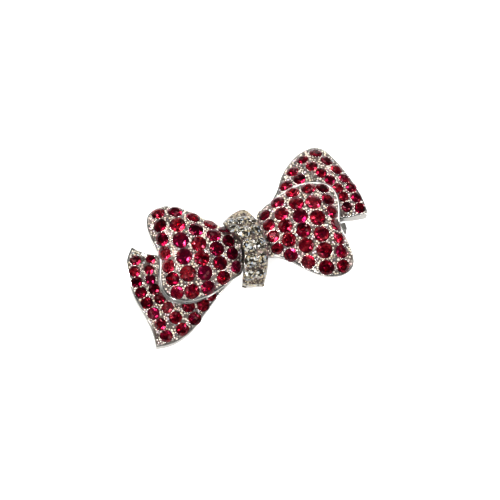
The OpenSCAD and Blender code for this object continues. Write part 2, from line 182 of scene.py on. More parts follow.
# Grains: radii, least distance between two, tries for the field, and how deep they
# are sunk as a share of the radius
GRAIN_SMALL = 0.16 * MM
GRAIN_LARGE = 0.28 * MM
GRAIN_SPACING = 0.38 * MM
GRAIN_TRIES_PER_MM2 = 140
GRAIN_SINK = 0.15

# Grains that grip a stone: how many, how far they shift along the ring as a share of
# their spacing, and how far from the plain stone they stand, in mm
GRAINS_PER_STONE = 6
GRIP_SHIFT = 0.25
GRIP_REACH = (0.24, 0.32)

# Room round a grain: to a stone, to the edge of its faces and to the knot, and the
# farthest that its first place may lie off the metal
GRAIN_OFF_STONE = 0.22 * MM
GRAIN_OFF_EDGE = 0.14 * MM
GRAIN_OFF_KNOT = 0.22 * MM
GRAIN_OFF_METAL = 0.25 * MM

# Tones of the grains: lightness, tints with the share of grains up to each, and
# shades of the loops' and tails' fields and of the knot
GRAIN_LIGHTS = (0.16, 0.4, 1.0, 1.0, 1.0, 1.0)
GRAIN_TINTS = [
    (0.55, (1.0, 0.96, 0.89)),
    (0.72, (1.0, 0.93, 0.76)),
    (0.86, (1.0, 0.85, 0.86)),
    (0.94, (0.92, 0.87, 1.0)),
    (1.0, (0.84, 0.93, 1.0)),
]
FIELD_SHADE = (1.0, 1.0, 1.0)
KNOT_SHADE = (0.45, 0.425, 0.35)

# Polish of the metals: scale of its clouds and scratches, how the scratches are drawn
# out and turned, and their depth
CLOUD_SCALE = 420
CLOUD_DETAIL = 3
SCRATCH_SCALE = 2400
SCRATCH_DETAIL = 2
SCRATCH_STRETCH = (1, 6, 2)
SCRATCH_TURN = math.radians(35)
SCRATCH_STRENGTH = 0.06
SCRATCH_DEPTH = 0.02 * MM

# Cut stones: how strongly a painted flash shows, and the polish of the facets
PAINTED_FLASH_SHARE = 0.8
GEM_ROUGHNESS = 0.06

# Floor: half its width in metres, how far it lies below the brooch, scale of its
# mottle, darkest and lightest grey, glow and roughness
FLOOR_HALF = 0.6
FLOOR_DROP = 0.02 * MM
FLOOR_MOTTLE = 60
FLOOR_TONES = (0.86, 0.9)
FLOOR_GLOW = 0.8
FLOOR_ROUGHNESS = 0.7

# Room: scale and detail of its bright patches, where on the noise they begin and are
# full, the dark between them, and the heights and strengths from overhead to low down
PATCH_SCALE = 3.2
PATCH_DETAIL = 1
PATCH_RANGE = (0.44, 0.53)
PATCH_DARK = (0.012, 0.012, 0.013, 1)
ROOM_HEIGHTS = (0.92, 0.7)
ROOM_STRENGTHS = (0.03, 0.22)

# Lamps: name, place in metres, width of the disc, power and colour
LAMPS = [
    ("key", (-0.35, 0.25, 0.55), 0.2, 4.6, (1, 0.97, 0.93)),
    ("fill", (0.45, -0.2, 0.45), 0.18, 2.2, (1, 0.97, 0.95)),
    ("rear", (0.3, 0.42, 0.35), 0.12, 1.4, (1, 0.97, 0.94)),
    ("front", (-0.3, -0.4, 0.4), 0.12, 1.5, (1, 0.98, 0.96)),
    ("glint_left", (-0.16, 0.02, 0.6), 0.04, 0.2, (1, 1, 1)),
    ("glint_right", (0.2, 0.14, 0.55), 0.04, 0.2, (1, 1, 1)),
    ("glint_low", (0.02, -0.3, 0.5), 0.04, 0.2, (1, 1, 1)),
]


def shape_from_node(name):
    """A merged working copy of a node's loose triangles."""
    shape = bmesh.new()
    shape.from_mesh(frame["nodes"][name].data)
    bmesh.ops.remove_doubles(shape, verts=shape.verts, dist=MERGE_DISTANCE)
    shape.faces.index_update()
    return shape


def object_from_shape(name, shape):
    """A scene object made of a shape, which is used up."""
    mesh = bpy.data.meshes.new(name)
    shape.to_mesh(mesh)
    shape.free()
    piece = bpy.data.objects.new(name, mesh)
    bpy.context.scene.collection.objects.link(piece)
    return piece


def linked_corners(start, seen):
    """All corners that hang together with one corner."""
    found = [start]
    seen.add(start)
    for vert in found:
        for edge in vert.link_edges:
            other = edge.other_vert(vert)
            if other not in seen:
                seen.add(other)
                found.append(other)
    return found


def stones_of(name):
    """Centre, outward direction and diameter of each stone in a node."""
    shape = shape_from_node(name)
    seen = set()
    stones = []
    for vert in shape.verts:
        if vert in seen:
            continue
        corners = [v.co.copy() for v in linked_corners(vert, seen)]
        middle = sum(corners, Vector()) / len(corners)
        corners.sort(key=lambda co: (co - middle).length)
        girdle = corners[-GIRDLE_CORNERS:]
        tip = corners[-GIRDLE_CORNERS - 1]
        centre = sum(girdle, Vector()) / GIRDLE_CORNERS
        outward = (centre - tip).normalized()
        stones.append((centre, outward, 2 * (girdle[0] - centre).length))
    shape.free()
    return stones


def facing(centre, outward, spin, size):
    """Matrix that stands a shape of size 1 on a point, turned about its own axis."""
    turn = outward.to_track_quat("Z", "Y").to_matrix().to_4x4()
    return (
        Matrix.Translation(centre)
        @ turn
        @ Matrix.Rotation(spin, 4, "Z")
        @ Matrix.Diagonal((size, size, size, 1))
    )


def tumbled(centre, size, chance):
    """Matrix that puts a shape of size 1 on a point, turned any way."""
    turn = Euler([chance.uniform(0, 2 * math.pi) for _ in range(3)]).to_matrix().to_4x4()
    return Matrix.Translation(centre) @ turn @ Matrix.Diagonal((size, size, size, 1))


def joined_copies(name, shape, places, tones, smooth):
    """One piece of many copies of a small shape, each with its own tone."""
    shape.verts.index_update()
    corners = np.array([v.co[:] for v in shape.verts])
    faces = [[v.index for v in face.verts] for face in shape.faces]
    points = []
    for place in places:
        turn = np.array(place.to_3x3())
        points.append(corners @ turn.T + np.array(place.translation))
    count = len(corners)
    starts = range(0, count * len(places), count)
    all_faces = [[start + i for i in face] for start in starts for face in faces]
    mesh = bpy.data.meshes.new(name)
    mesh.from_pydata(np.concatenate(points).tolist(), [], all_faces)
    mesh.polygons.foreach_set("use_smooth", [smooth] * len(all_faces))
    corner_count = sum(len(face) for face in faces)
    tone = mesh.color_attributes.new("tone", "FLOAT_COLOR", "CORNER")
    values = np.ones((len(places), corner_count, 4))
    values[:, :, :3] = np.array(tones)
    tone.data.foreach_set("color", values.ravel())
    shape.free()
    piece = bpy.data.objects.new(name, mesh)
    bpy.context.scene.collection.objects.link(piece)
    return piece


def new_material(name):
    """An empty material with its shader and output joined."""
    material = bpy.data.materials.new(name)
    material.use_nodes = True
    nodes = material.node_tree.nodes
    nodes.clear()
    shader = nodes.new("ShaderNodeBsdfPrincipled")
    output = nodes.new("ShaderNodeOutputMaterial")
    material.node_tree.links.new(shader.outputs["BSDF"], output.inputs["Surface"])
    return material, nodes, material.node_tree.links, shader


def wear_group():
    """Fine scratches and soft cloudy polish for every metal of the brooch."""
    group = bpy.data.node_groups.new("metal_polish", "ShaderNodeTree")
    sides = group.interface
    sides.new_socket(name="Bright", in_out="INPUT", socket_type="NodeSocketColor")
    sides.new_socket(name="Dull", in_out="INPUT", socket_type="NodeSocketColor")
    sides.new_socket(name="Smoothest", in_out="INPUT", socket_type="NodeSocketFloat")
    sides.new_socket(name="Roughest", in_out="INPUT", socket_type="NodeSocketFloat")
    sides.new_socket(name="Colour", in_out="OUTPUT", socket_type="NodeSocketColor")
    sides.new_socket(name="Roughness", in_out="OUTPUT", socket_type="NodeSocketFloat")
    sides.new_socket(name="Height", in_out="OUTPUT", socket_type="NodeSocketFloat")
    nodes = group.nodes
    link = group.links.new
    inside = nodes.new("NodeGroupInput")
    outside = nodes.new("NodeGroupOutput")
    place = nodes.new("ShaderNodeTexCoord")
    clouds = nodes.new("ShaderNodeTexNoise")
    clouds.inputs["Scale"].default_value = CLOUD_SCALE
    clouds.inputs["Detail"].default_value = CLOUD_DETAIL
    link(place.outputs["Object"], clouds.inputs["Vector"])
    stretch = nodes.new("ShaderNodeMapping")
    stretch.inputs["Scale"].default_value = SCRATCH_STRETCH
    stretch.inputs["Rotation"].default_value = (0, 0, SCRATCH_TURN)
    link(place.outputs["Object"], stretch.inputs["Vector"])
    scratches = nodes.new("ShaderNodeTexNoise")
    scratches.inputs["Scale"].default_value = SCRATCH_SCALE
    scratches.inputs["Detail"].default_value = SCRATCH_DETAIL
    link(stretch.outputs["Vector"], scratches.inputs["Vector"])
    colour = nodes.new("ShaderNodeMix")
    colour.data_type = "RGBA"
    link(clouds.outputs["Fac"], colour.inputs["Factor"])
    link(inside.outputs["Bright"], colour.inputs["A"])
    link(inside.outputs["Dull"], colour.inputs["B"])
    link(colour.outputs["Result"], outside.inputs["Colour"])
    rough = nodes.new("ShaderNodeMapRange")
    link(scratches.outputs["Fac"], rough.inputs["Value"])
    link(inside.outputs["Smoothest"], rough.inputs["To Min"])
    link(inside.outputs["Roughest"], rough.inputs["To Max"])
    link(rough.outputs["Result"], outside.inputs["Roughness"])
    link(scratches.outputs["Fac"], outside.inputs["Height"])
    return group


def metal(name, bright, dull, smoothest, roughest, toned=False):
    """A polished metal. Toned metals take each grain's own tint as well."""
    material, nodes, links, shader = new_material(name)
    polish = nodes.new("ShaderNodeGroup")
    polish.node_tree = METAL_POLISH
    polish.inputs["Bright"].default_value = (*bright, 1)
    polish.inputs["Dull"].default_value = (*dull, 1)
    polish.inputs["Smoothest"].default_value = smoothest
    polish.inputs["Roughest"].default_value = roughest
    colour = polish.outputs["Colour"]
    if toned:
        tone = nodes.new("ShaderNodeVertexColor")
        tone.layer_name = "tone"
        tint = nodes.new("ShaderNodeMix")
        tint.data_type = "RGBA"
        tint.blend_type = "MULTIPLY"
        tint.inputs["Factor"].default_value = 1
        links.new(colour, tint.inputs["A"])
        links.new(tone.outputs["Color"], tint.inputs["B"])
        colour = tint.outputs["Result"]
    links.new(colour, shader.inputs["Base Color"])
    links.new(polish.outputs["Roughness"], shader.inputs["Roughness"])
    bump = nodes.new("ShaderNodeBump")
    bump.inputs["Strength"].default_value = SCRATCH_STRENGTH
    bump.inputs["Distance"].default_value = SCRATCH_DEPTH
    links.new(polish.outputs["Height"], bump.inputs["Height"])
    links.new(bump.outputs["Normal"], shader.inputs["Normal"])
    shader.inputs["Metallic"].default_value = 1
    return material


def painted_stone_fire_group():
    """Painted light inside a cut stone: a mosaic of lighter and darker tones with a few
    painted flashes, added to the tone of each facet."""
    group = bpy.data.node_groups.new("painted_stone_fire", "ShaderNodeTree")
    sides = group.interface
    sides.new_socket(name="Cells", in_out="INPUT", socket_type="NodeSocketFloat")
    sides.new_socket(name="Painted mosaic", in_out="INPUT", socket_type="NodeSocketFloat")
    sides.new_socket(name="Painted flash", in_out="INPUT", socket_type="NodeSocketFloat")
    sides.new_socket(name="Tone", in_out="OUTPUT", socket_type="NodeSocketFloat")
    sides.new_socket(name="Side", in_out="OUTPUT", socket_type="NodeSocketFloat")
    sides.new_socket(name="Painted spark", in_out="OUTPUT", socket_type="NodeSocketFloat")
    nodes = group.nodes
    link = group.links.new
    inside = nodes.new("NodeGroupInput")
    outside = nodes.new("NodeGroupOutput")
    facet = nodes.new("ShaderNodeVertexColor")
    facet.layer_name = "tone"
    parts = nodes.new("ShaderNodeSeparateColor")
    link(facet.outputs["Color"], parts.inputs["Color"])
    place = nodes.new("ShaderNodeTexCoord")
    cells = nodes.new("ShaderNodeTexVoronoi")
    link(place.outputs["Object"], cells.inputs["Vector"])
    link(inside.outputs["Cells"], cells.inputs["Scale"])
    chances = nodes.new("ShaderNodeSeparateColor")
    link(cells.outputs["Color"], chances.inputs["Color"])
    centred = nodes.new("ShaderNodeMath")
    centred.operation = "SUBTRACT"
    centred.inputs[1].default_value = 0.5
    link(chances.outputs["Red"], centred.inputs[0])
    tone = nodes.new("ShaderNodeMath")
    tone.operation = "MULTIPLY_ADD"
    link(centred.outputs["Value"], tone.inputs[0])
    link(inside.outputs["Painted mosaic"], tone.inputs[1])
    link(parts.outputs["Red"], tone.inputs[2])
    link(tone.outputs["Value"], outside.inputs["Tone"])
    # Cells below the flash share show the side tint and the spark as painted flashes, on top
    # of each facet's own side tint and painted spark
    for part, name in (("Green", "Side"), ("Blue", "Painted spark")):
        lit = nodes.new("ShaderNodeMath")
        lit.operation = "LESS_THAN"
        link(chances.outputs[part], lit.inputs[0])
        link(inside.outputs["Painted flash"], lit.inputs[1])
        both = nodes.new("ShaderNodeMath")
        both.operation = "MULTIPLY_ADD"
        both.use_clamp = True
        both.inputs[1].default_value = PAINTED_FLASH_SHARE
        link(lit.outputs["Value"], both.inputs[0])
        link(parts.outputs[part], both.inputs[2])
        link(both.outputs["Value"], outside.inputs[name])
    return group


def gem(name, tones, fire, bend, clearness, gloss, gloss_level):
    """A cut stone: its tone, with the painted light and dark of its facets, picks a colour of
    the ramp, then the side tint and the painted spark highlight are mixed in."""
    material, nodes, links, shader = new_material(name)
    broken = nodes.new("ShaderNodeGroup")
    broken.node_tree = PAINTED_STONE_FIRE
    for part, value in fire.items():
        broken.inputs[part].default_value = value
    ramp = nodes.new("ShaderNodeValToRGB")
    ramp.color_ramp.elements[0].position = tones["main"][0][0]
    ramp.color_ramp.elements[0].color = (*tones["main"][0][1], 1)
    ramp.color_ramp.elements[1].position = tones["main"][-1][0]
    ramp.color_ramp.elements[1].color = (*tones["main"][-1][1], 1)
    for position, colour in tones["main"][1:-1]:
        ramp.color_ramp.elements.new(position).color = (*colour, 1)
    links.new(broken.outputs["Tone"], ramp.inputs["Fac"])
    colour = ramp.outputs["Color"]
    for part, tint in (("Side", tones["side"]), ("Painted spark", tones["painted_spark"])):
        mixed = nodes.new("ShaderNodeMix")
        mixed.data_type = "RGBA"
        mixed.inputs["B"].default_value = (*tint, 1)
        links.new(broken.outputs[part], mixed.inputs["Factor"])
        links.new(colour, mixed.inputs["A"])
        colour = mixed.outputs["Result"]
    links.new(colour, shader.inputs["Base Color"])
    shader.inputs["Roughness"].default_value = GEM_ROUGHNESS
    shader.inputs["IOR"].default_value = bend
    shader.inputs["Transmission Weight"].default_value = clearness
    shader.inputs["Specular Tint"].default_value = (*gloss, 1)
    shader.inputs["Specular IOR Level"].default_value = gloss_level
    return material


def brilliant_shape():
    """Round brilliant of diameter 1, its girdle at the origin."""
    star_share = (GIRDLE_RADIUS - STAR_RADIUS) / (GIRDLE_RADIUS - TABLE_RADIUS)
    lower_share = (GIRDLE_RADIUS - LOWER_RADIUS) / GIRDLE_RADIUS
    star_height = CROWN_HEIGHT * star_share * CROWN_FULLNESS
    lower_depth = PAVILION_DEPTH * lower_share * PAVILION_FULLNESS
    rings = [
        (FACETS, TABLE_RADIUS, CROWN_HEIGHT, 0),
        (FACETS, STAR_RADIUS, star_height, HALF_FACET),
        (2 * FACETS, GIRDLE_RADIUS, GIRDLE_HALF, 0),
        (2 * FACETS, GIRDLE_RADIUS, -GIRDLE_HALF, 0),
        (FACETS, LOWER_RADIUS, -lower_depth, HALF_FACET),
    ]
    shape = bmesh.new()
    for corners, radius, height, turn in rings:
        place = Matrix.Translation((0, 0, height)) @ Matrix.Rotation(turn, 4, "Z")
        bmesh.ops.create_circle(shape, segments=corners, radius=radius, matrix=place)
    bmesh.ops.create_vert(shape, co=(0, 0, -PAVILION_DEPTH))
    hull = bmesh.ops.convex_hull(shape, input=shape.verts)
    spare = set(hull["geom_interior"]) | set(hull["geom_unused"])
    spare_corners = [part for part in spare if isinstance(part, bmesh.types.BMVert)]
    bmesh.ops.delete(shape, geom=spare_corners, context="VERTS")
    bmesh.ops.dissolve_limit(
        shape, angle_limit=FLAT_ANGLE, verts=shape.verts, edges=shape.edges
    )
    bmesh.ops.recalc_face_normals(shape, faces=shape.faces)
    return shape


def grain_shape():
    """A grain of radius 1: a small ball."""
    shape = bmesh.new()
    bmesh.ops.create_icosphere(shape, subdivisions=1, radius=1)
    return shape


def collar_shape(radius):
    """A thin ring of round wire round the origin."""
    shape = bmesh.new()
    place = Matrix.Translation((radius, 0, 0)) @ Matrix.Rotation(math.radians(90), 4, "X")
    bmesh.ops.create_circle(shape, segments=COLLAR_SIDES, radius=COLLAR_WIRE, matrix=place)
    bmesh.ops.spin(
        shape,
        geom=shape.verts[:] + shape.edges[:],
        cent=(0, 0, 0),
        axis=(0, 0, 1),
        angle=2 * math.pi,
        steps=COLLAR_STEPS,
        use_merge=True,
    )
    bmesh.ops.remove_doubles(shape, verts=shape.verts, dist=MERGE_DISTANCE)
    bmesh.ops.recalc_face_normals(shape, faces=shape.faces)
    return shape


def near_a_stone(point, stones, margin):
    """Whether a point is closer to a stone's centre than its radius and a margin."""
    return any((point - centre).length < size / 2 + margin for centre, _, size in stones)


def round_long_edges(shape, stones):
    """Rounds and polishes the edges of a plate, but not those of its seats."""
    edges = [
        edge
        for edge in shape.edges
        if len(edge.link_faces) == 2
        and edge.calc_face_angle() > EDGE_ANGLE
        and not near_a_stone((edge.verts[0].co + edge.verts[1].co) / 2, stones, SEAT_MARGIN)
    ]
    rounded = bmesh.ops.bevel(
        shape,
        geom=edges,
        offset=EDGE_ROUND,
        offset_type="OFFSET",
        segments=EDGE_SEGMENTS,
        profile=0.5,
        affect="EDGES",
        clamp_overlap=True,
        material=-1,
    )
    for face in rounded["faces"]:
        face.material_index = RIM_METAL


def shade_smoothly(shape):
    """Smooth shading that stops at the edges."""
    for face in shape.faces:
        face.smooth = True
    for edge in shape.edges:
        sharp = len(edge.link_faces) == 2 and edge.calc_face_angle() > SMOOTH_ANGLE
        edge.smooth = not sharp


def ground_faces(shape):
    """Faces of the stone field: the largest smooth stretch that faces up."""
    seen = set()
    best = []
    best_area = 0
    for face in shape.faces:
        if face in seen or face.normal.z < FIELD_SLOPE:
            continue
        stretch = [face]
        seen.add(face)
        for member in stretch:
            for edge in member.edges:
                for other in edge.link_faces:
                    if other in seen or other.normal.z < FIELD_SLOPE:
                        continue
                    if edge.calc_face_angle(0) < EDGE_ANGLE:
                        seen.add(other)
                        stretch.append(other)
        area = sum(f.calc_area() for f in stretch)
        if area > best_area:
            best = stretch
            best_area = area
    return best


def beside_knot(point):
    """Whether a point lies at the inner end of a loop or tail, high enough to be seen."""
    return abs(point.x) < INNER_REACH and point.z > INNER_LOW


def grain_faces(name, shape):
    """Faces that carry grains: the stone field, the lower ledge of the knot and the
    inner ends beside the knot."""
    faces = set(ground_faces(shape))
    for face in shape.faces:
        middle = face.calc_center_median()
        if name == "knot":
            seen = face.normal.z > LEDGE_SLOPE and middle.y < KNOT_LOWER_END
        else:
            seen = face.normal.z > INNER_SLOPE and beside_knot(middle)
        if seen:
            faces.add(face)
    return faces


def outline_of(name, shape, faces):
    """Ends of the edges round some faces of a plate, without those of its seats."""
    ends = []
    for edge in shape.edges:
        a = edge.verts[0].co.copy()
        b = edge.verts[1].co.copy()
        inside = sum(face in faces for face in edge.link_faces)
        if inside == 1 and not near_a_stone((a + b) / 2, STONES[name], OUTLINE_MARGIN):
            ends.append((a, b))
    return ends


def tree_along(ends):
    """Search tree of points set close together along some edges."""
    points = []
    for a, b in ends:
        steps = math.ceil((b - a).length / OUTLINE_STEP)
        points.extend(a.lerp(b, k / steps) for k in range(steps + 1))
    tree = KDTree(len(points))
    for index, point in enumerate(points):
        tree.insert(point, index)
    tree.balance()
    return tree


def clear_of_knot(name, point, outward):
    """Whether a grain on a loop or tail stays outside the knot."""
    if name == "knot":
        return True
    top = point + outward * GRAIN_LARGE
    nearest, normal, _, distance = KNOT_TREE.find_nearest(top)
    return distance > GRAIN_OFF_KNOT and (top - nearest).dot(normal) > 0


def cell_of(point):
    """Cell of a grid in which neighbouring grains are looked up."""
    return tuple(int(math.floor(c / GRAIN_SPACING)) for c in point)


def crowded(point, cells):
    """Whether a grain already lies closer than the spacing."""
    x, y, z = cell_of(point)
    for i in (-1, 0, 1):
        for j in (-1, 0, 1):
            for k in (-1, 0, 1):
                for other in cells.get((x + i, y + j, z + k), ()):
                    if (other - point).length < GRAIN_SPACING:
                        return True
    return False


def grain_spots(name, stones, chance):
    """Places for grains: a few that grip each stone, then the field between them."""
    cells = {}
    spots = []
    shape = shape_from_node(name)
    faces = sorted(grain_faces(name, shape), key=lambda face: face.index)
    corners = [[v.co.copy() for v in face.verts] for face in faces]
    areas = [face.calc_area() for face in faces]
    outline = tree_along(outline_of(name, shape, set(faces)))
    shape.free()
    flat = [corner for triangle in corners for corner in triangle]
    triangles = [(k, k + 1, k + 2) for k in range(0, len(flat), 3)]
    surface = BVHTree.FromPolygons(flat, triangles)

    def keep(point):
        """Keeps a grain where it sits on the metal, with room round it."""
        spot, outward, _, distance = surface.find_nearest(point)
        if distance > GRAIN_OFF_METAL or crowded(spot, cells):
            return
        if outline.find(spot)[2] < GRAIN_OFF_EDGE:
            return
        if clear_of_knot(name, spot, outward):
            cells.setdefault(cell_of(spot), []).append(spot)
            spots.append((spot, outward))

    for centre, outward, size in stones:
        turn = outward.to_track_quat("Z", "Y")
        start = chance.uniform(0, 2 * math.pi)
        for k in range(GRAINS_PER_STONE):
            step = k + chance.uniform(-GRIP_SHIFT, GRIP_SHIFT)
            angle = start + 2 * math.pi * step / GRAINS_PER_STONE
            reach = size / 2 + chance.uniform(*GRIP_REACH) * MM
            aside = Vector((reach * math.cos(angle), reach * math.sin(angle), 0))
            keep(centre + turn @ aside)
    tries = int(sum(areas) / MM**2 * GRAIN_TRIES_PER_MM2)
    for index in chance.choices(range(len(areas)), weights=areas, k=tries):
        a, b, c = corners[index]
        u = chance.random()
        v = chance.random()
        if u + v > 1:
            u = 1 - u
            v = 1 - v
        point = a + (b - a) * u + (c - a) * v
        if not near_a_stone(point, stones, GRAIN_OFF_STONE):
            keep(point)
    return spots


def grain_tone(shade, chance):
    """Cream white, with some yellowish, pink, lilac and bluish grains."""
    light = chance.choice(GRAIN_LIGHTS)
    kind = chance.random()
    tint = next(tint for share, tint in GRAIN_TINTS if kind < share)
    return [light * part * over for part, over in zip(tint, shade)]


def plate(name):
    """Finished copy of a metal node, its edges rounded, its side walls greyer and its stone
    field and the inner ends beside the knot darker, as painted shade.
    """
    shape = shape_from_node(name)
    for face in shape.faces:
        # Side walls get the greyer metal: painted shade
        if abs(face.normal.z) < WALL_SLOPE[name]:
            face.material_index = WALL_SHADE_SLOT
        # Inner ends beside the knot get the dark metal: painted shade beside the knot
        if name != "knot" and beside_knot(face.calc_center_median()):
            face.material_index = FIELD_SHADE_SLOT
    # The stone field gets the dark metal: painted shade between the grains and stones
    for face in ground_faces(shape):
        face.material_index = FIELD_SHADE_SLOT
    round_long_edges(shape, STONES[name])
    shade_smoothly(shape)
    piece = object_from_shape(name + "_metal", shape)
    piece.data.materials.append(POLISHED)
    piece.data.materials.append(GROUND_SHADE_METAL)
    piece.data.materials.append(WALL_SHADE_METAL)
    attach(piece, "root")
    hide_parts(name)


def pin():
    """Finished copy of the pin behind, with rounded edges."""
    shape = shape_from_node("pin_back")
    round_long_edges(shape, [])
    shade_smoothly(shape)
    piece = object_from_shape("shaded_pin_metal", shape)
    # The pin gets the dark metal: painted shade
    piece.data.materials.append(PIN_SHADE_METAL)
    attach(piece, "root")
    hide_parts("pin_back")


def grains(name, chance):
    """Small balls of metal round and between the stones of a plate."""
    shade = KNOT_SHADE if name == "knot" else FIELD_SHADE
    places = []
    tones = []
    for point, outward in grain_spots(name, STONES[name], chance):
        size = chance.uniform(GRAIN_SMALL, GRAIN_LARGE)
        centre = point - outward * size * GRAIN_SINK
        places.append(tumbled(centre, size, chance))
        tones.append([grain_tone(shade, chance)])
    piece = joined_copies(name + "_grains", grain_shape(), places, tones, smooth=True)
    piece.data.materials.append(GRAIN)
    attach(piece, "root")


def collars(name):
    """Thin collars round the stones of a plate."""
    whole = bmesh.new()
    for centre, outward, size in STONES[name]:
        ring = collar_shape(size / 2 + COLLAR_GAP)
        ring.transform(facing(centre, outward, 0, 1))
        mesh = bpy.data.meshes.new("ring")
        ring.to_mesh(mesh)
        ring.free()
        whole.from_mesh(mesh)
        bpy.data.meshes.remove(mesh)
    for face in whole.faces:
        face.smooth = True
    piece = object_from_shape(name + "_collars", whole)
    piece.data.materials.append(POLISHED)
    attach(piece, "root")


def edge_wire(name):
    """A bright wire round the stone field of a plate."""
    shape = shape_from_node(name)
    ends = outline_of(name, shape, set(ground_faces(shape)))
    shape.free()
    whole = bmesh.new()
    for a, b in ends:
        bmesh.ops.create_cone(
            whole,
            cap_ends=True,
            segments=EDGE_WIRE_SIDES,
            radius1=EDGE_WIRE,
            radius2=EDGE_WIRE,
            depth=(b - a).length,
            matrix=facing((a + b) / 2, (b - a).normalized(), 0, 1),
        )
        for end in (a, b):
            bmesh.ops.create_icosphere(
                whole, subdivisions=1, radius=EDGE_WIRE, matrix=Matrix.Translation(end)
            )
    for face in whole.faces:
        face.smooth = True
    piece = object_from_shape(name + "_edge_wire", whole)
    piece.data.materials.append(EDGE)
    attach(piece, "root")


def ruby_painted_facets(shape, centre, chance):
    """Tone of each facet corner of one ruby: its body, made lighter or darker per facet as
    painted light, with its side tint and painted spark.
    """
    body = chance.uniform(*RUBY_BODY)
    side = max(0, chance.gauss(*RUBY_SIDE))
    painted_spark = 0
    for x, y, own_body, own_side, own_painted_spark in STANDOUT_RUBIES:
        if math.hypot(centre.x - x * MM, centre.y - y * MM) < STANDOUT_REACH:
            body = own_body
            side = own_side
            painted_spark = own_painted_spark
    tones = []
    for face in shape.faces:
        tone = body + chance.uniform(-RUBY_PAINTED_FACETS, RUBY_PAINTED_FACETS)
        tones.extend([[tone, side, painted_spark]] * len(face.verts))
    return tones


def diamond_painted_facets(shape, centre, chance):
    """Tone of each facet corner of one diamond, bright and dark side by side as painted
    reflections.
    """
    tones = []
    for face in shape.faces:
        tone = chance.uniform(*DIAMOND_PAINTED_FACETS)
        tones.extend([[tone, 0, 0]] * len(face.verts))
    return tones


def cut_stones(name, material, painted_facet_tones, chance):
    """Finished brilliants in place of a node of plain cut stones."""
    node = PLATE_STONES[name]
    shape = brilliant_shape()
    places = []
    tones = []
    for centre, outward, size in STONES[name]:
        aside = Vector((chance.uniform(-1, 1), chance.uniform(-1, 1), 0))
        lean = (outward + aside * math.sin(STONE_TILT)).normalized()
        seat = centre + outward * STONE_RISE
        spin = chance.uniform(0, 2 * math.pi)
        places.append(facing(seat, lean, spin, size + SEAT_FILL))
        tones.append(painted_facet_tones(shape, centre, chance))
    piece = joined_copies(node + "_cut", shape, places, tones, smooth=False)
    piece.data.materials.append(material)
    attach(piece, "root")
    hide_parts(node)


def camera_axes():
    """Directions to the right, to the top and out of the picture."""
    azimuth = math.radians(CAMERA_AZIMUTH)
    elevation = math.radians(CAMERA_ELEVATION)
    roll = math.radians(CAMERA_ROLL)
    right = Vector((math.cos(azimuth), math.sin(azimuth), 0))
    back = Vector((
        math.sin(azimuth) * math.cos(elevation),
        -math.cos(azimuth) * math.cos(elevation),
        math.sin(elevation),
    ))
    up = back.cross(right)
    picture_right = right * math.cos(roll) + up * math.sin(roll)
    picture_up = up * math.cos(roll) - right * math.sin(roll)
    return picture_right, picture_up, back


def camera():
    """Camera at the photograph's place, with the brooch where the picture has it."""
    right, up, back = camera_axes()
    half = IMAGE_PIXELS / 2
    aside = right * (half - BROOCH_PIXEL[0]) * PIXEL_SIZE
    aim = aside + up * (BROOCH_PIXEL[1] - half) * PIXEL_SIZE
    data = bpy.data.cameras.new("camera")
    data.sensor_width = SENSOR_MM
    data.lens = SENSOR_MM * CAMERA_DISTANCE / (IMAGE_PIXELS * PIXEL_SIZE)
    data.clip_start = CAMERA_NEAR
    data.clip_end = CAMERA_FAR
    seat = bpy.data.objects.new("camera", data)
    turn = Matrix((right, up, back)).transposed().to_4x4()
    seat.matrix_world = Matrix.Translation(aim + back * CAMERA_DISTANCE) @ turn
    bpy.context.scene.collection.objects.link(seat)
    bpy.context.scene.camera = seat


def pale_floor():
    """Plain pale surface with a faint glow, which the photograph's white needs."""
    material, nodes, links, shader = new_material("pale_floor")
    place = nodes.new("ShaderNodeTexCoord")
    mottle = nodes.new("ShaderNodeTexNoise")
    mottle.inputs["Scale"].default_value = FLOOR_MOTTLE
    links.new(place.outputs["Object"], mottle.inputs["Vector"])
    tone = nodes.new("ShaderNodeValToRGB")
    for element, grey in zip(tone.color_ramp.elements, FLOOR_TONES):
        element.color = (grey, grey, grey, 1)
    links.new(mottle.outputs["Fac"], tone.inputs["Fac"])
    links.new(tone.outputs["Color"], shader.inputs["Base Color"])
    links.new(tone.outputs["Color"], shader.inputs["Emission Color"])
    shader.inputs["Emission Strength"].default_value = FLOOR_GLOW
    shader.inputs["Roughness"].default_value = FLOOR_ROUGHNESS
    return material


def floor():
    """The surface that the brooch lies on."""
    shape = bmesh.new()
    bmesh.ops.create_grid(shape, x_segments=1, y_segments=1, size=FLOOR_HALF)
    bmesh.ops.translate(shape, verts=shape.verts, vec=(0, 0, -FLOOR_DROP))
    piece = object_from_shape("floor", shape)
    piece.data.materials.append(pale_floor())


def lamp(name, place, size, power, colour):
    """A round soft light that shines on the middle of the brooch."""
    data = bpy.data.lights.new(name, "AREA")
    data.shape = "DISK"
    data.size = size
    data.energy = power
    data.color = colour
    stand = bpy.data.objects.new(name, data)
    turn = (-Vector(place)).to_track_quat("-Z", "Y").to_matrix().to_4x4()
    stand.matrix_world = Matrix.Translation(place) @ turn
    bpy.context.scene.collection.objects.link(stand)


